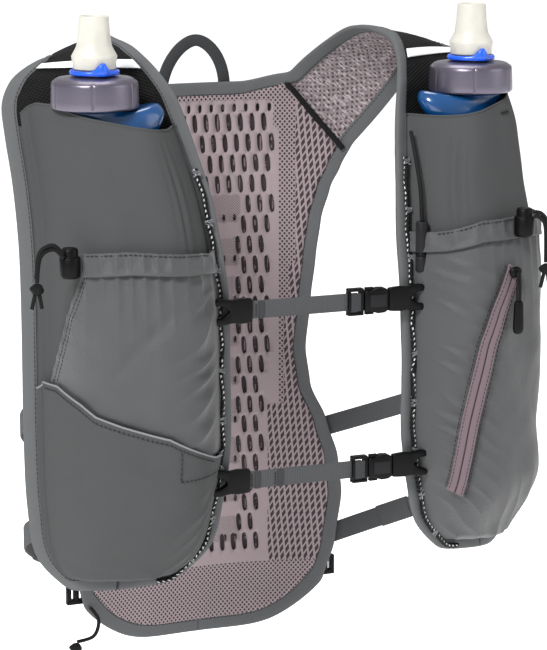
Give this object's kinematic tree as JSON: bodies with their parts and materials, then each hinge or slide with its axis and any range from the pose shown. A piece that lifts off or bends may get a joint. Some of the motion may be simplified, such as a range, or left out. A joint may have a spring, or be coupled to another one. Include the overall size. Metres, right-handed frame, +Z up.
{
  "type": "running hydration vest",
  "caption": "Worn-shape running vest: slotted mesh back, front panels with bottle and cargo pockets, sternum and side straps, and soft flasks with bite valves.",
  "frame": {"origin": "midway between the two shoulder straps, at the height where they lie on the shoulders", "axes": "+X to the wearer's left, +Y to the wearer's back, +Z up"},
  "size_m": [0.3243, 0.2334, 0.4367],
  "materials": {
    "grey_fabric": "woven ripstop nylon, satin",
    "grey_binding": "knitted stretch binding, matte",
    "stretch_mesh": "stretch mesh, matte",
    "mauve_mesh": "knitted spacer mesh, matte",
    "black_mesh": "open black mesh, matte",
    "webbing_grey": "woven webbing",
    "black_plastic": "moulded acetal, satin",
    "black_cord": "braided cord",
    "reflective_silver": "reflective film",
    "flask_blue": "clear blue soft flask",
    "cap_grey": "metallic grey plastic",
    "valve_silicone": "milky silicone",
    "lock_blue": "bright blue plastic",
    "zip_mauve": "zip tape with coil"
  },
  "bodies": {
    "vest": {"back_shell": "grey_fabric", "back_mesh": "mauve_mesh", "neck_binding": "grey_binding", "side_binding_left": "grey_binding", "side_binding_right": "grey_binding", "front_panel_left": "mauve_mesh", "shoulder_strap_left": "black_mesh", "front_panel_right": "mauve_mesh", "shoulder_strap_right": "black_mesh", "seam_tape_left": "black_cord", "seam_tape_right": "black_cord", "bottle_pocket_left": "stretch_mesh", "cargo_pocket_left": "grey_fabric", "pocket_hem_left": "grey_fabric", "bottle_pocket_right": "stretch_mesh", "cargo_pocket_right": "grey_fabric", "pocket_hem_right": "grey_fabric", "stretch_pocket_right": "stretch_mesh", "reflective_strip_left": "reflective_silver", "reflective_strip_right": "reflective_silver", "flask_left": "flask_blue", "flask_right": "flask_blue", "edge_cord_left": "black_cord", "edge_cord_right": "black_cord", "hook_upper_left": "black_plastic", "hook_upper_right": "black_plastic", "buckle_upper": "black_plastic", "ladder_lock_upper": "black_plastic", "sternum_strap_upper": "webbing_grey", "hook_lower_left": "black_plastic", "hook_lower_right": "black_plastic", "buckle_lower": "black_plastic", "ladder_lock_lower": "black_plastic", "sternum_strap_lower": "webbing_grey", "side_strap_upper_left": "webbing_grey", "side_strap_upper_right": "webbing_grey", "side_strap_lower_left": "webbing_grey", "side_strap_lower_right": "webbing_grey", "side_lock_left": "black_plastic", "side_lock_right": "black_plastic", "haul_loop": "webbing_grey", "zip_tape": "zip_mauve", "zip_slider": "black_plastic", "zip_pull": "black_plastic", "cord_lock_left": "black_plastic", "drawcord_left": "black_cord", "drawcord_knot_left": "black_cord", "cord_lock_right": "black_plastic", "drawcord_right": "black_cord", "drawcord_knot_right": "black_cord", "whistle_cord": "black_cord", "whistle": "black_plastic", "rear_cord": "black_cord", "rear_knot": "black_cord"},
    "cap_left": {"flask_cap_left": "cap_grey", "mouthpiece_left": "valve_silicone"},
    "lock_left": {"valve_lock_left": "lock_blue"},
    "cap_right": {"flask_cap_right": "cap_grey", "mouthpiece_right": "valve_silicone"},
    "lock_right": {"valve_lock_right": "lock_blue"}
  },
  "joints": [
    {"name": "cap_left_turn", "type": "hinge", "parent": "vest", "child": "cap_left", "pos_m": [0.114, -0.068, -0.018], "axis": [0, 0, 1], "range_deg": [0, 350]},
    {"name": "lock_left_turn", "type": "hinge", "parent": "cap_left", "child": "lock_left", "pos_m": [0.114, -0.068, -0.004], "axis": [0, 0, 1], "range_deg": [0, 90]},
    {"name": "cap_right_turn", "type": "hinge", "parent": "vest", "child": "cap_right", "pos_m": [-0.117, -0.068, -0.018], "axis": [0, 0, 1], "range_deg": [0, 350]},
    {"name": "lock_right_turn", "type": "hinge", "parent": "cap_right", "child": "lock_right", "pos_m": [-0.117, -0.068, -0.004], "axis": [0, 0, 1], "range_deg": [0, 90]}
  ]
}
